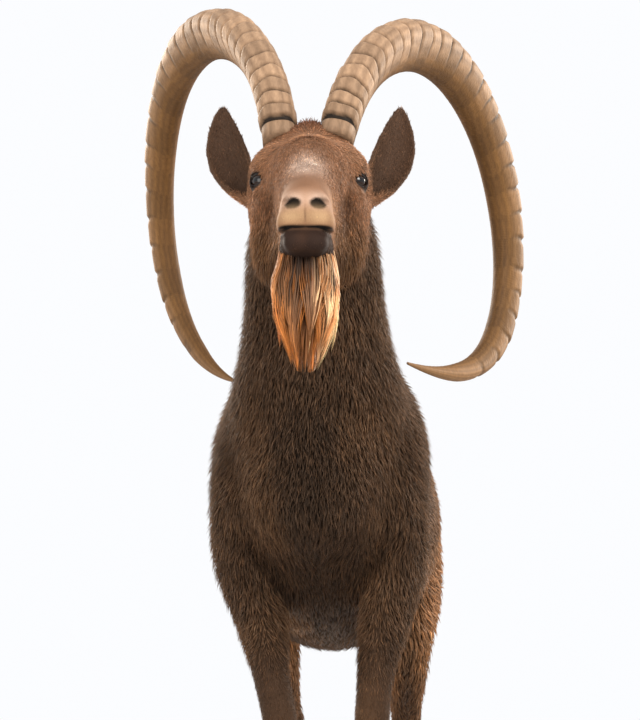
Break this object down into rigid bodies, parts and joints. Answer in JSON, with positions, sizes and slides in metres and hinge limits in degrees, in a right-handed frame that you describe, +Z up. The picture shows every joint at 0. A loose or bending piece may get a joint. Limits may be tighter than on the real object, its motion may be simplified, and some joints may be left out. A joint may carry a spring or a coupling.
{
  "type": "siberian ibex",
  "caption": "Life-size Siberian ibex buck standing on cloven hooves, head raised, long ridged horns swept back over the shoulders, ginger beard.",
  "frame": {"origin": "on the floor, in the middle of the box round the whole animal", "axes": "+Z up, -Y the way the animal faces, +X its left side"},
  "size_m": [0.6318, 1.4062, 1.4272],
  "materials": {
    "coat_dark": "dense chocolate-brown hair, matt",
    "coat_face": "short warm brown hair, matt",
    "coat_ginger": "long ginger hair, a little glossy",
    "horn_keratin": "ridged horn, worn pale on the ridges",
    "hoof_keratin": "dark hoof horn, satin",
    "eye_glass": "wet, polished eye"
  },
  "bodies": {
    "root": {"torso": "coat_dark", "neck": "coat_dark", "head": "coat_face", "tail": "coat_dark", "beard": "coat_ginger", "ear_left": "coat_face", "eye_left": "eye_glass", "horn_left": "horn_keratin", "foreleg_upper_left": "coat_dark", "foreleg_lower_left": "coat_dark", "hindleg_upper_left": "coat_dark", "hindleg_lower_left": "coat_dark", "hoof_front_left_inner": "hoof_keratin", "hoof_front_left_outer": "hoof_keratin", "hoof_hind_left_inner": "hoof_keratin", "hoof_hind_left_outer": "hoof_keratin", "ear_right": "coat_face", "eye_right": "eye_glass", "horn_right": "horn_keratin", "foreleg_upper_right": "coat_dark", "foreleg_lower_right": "coat_dark", "hindleg_upper_right": "coat_dark", "hindleg_lower_right": "coat_dark", "hoof_front_right_inner": "hoof_keratin", "hoof_front_right_outer": "hoof_keratin", "hoof_hind_right_inner": "hoof_keratin", "hoof_hind_right_outer": "hoof_keratin"}
  },
  "joints": []
}
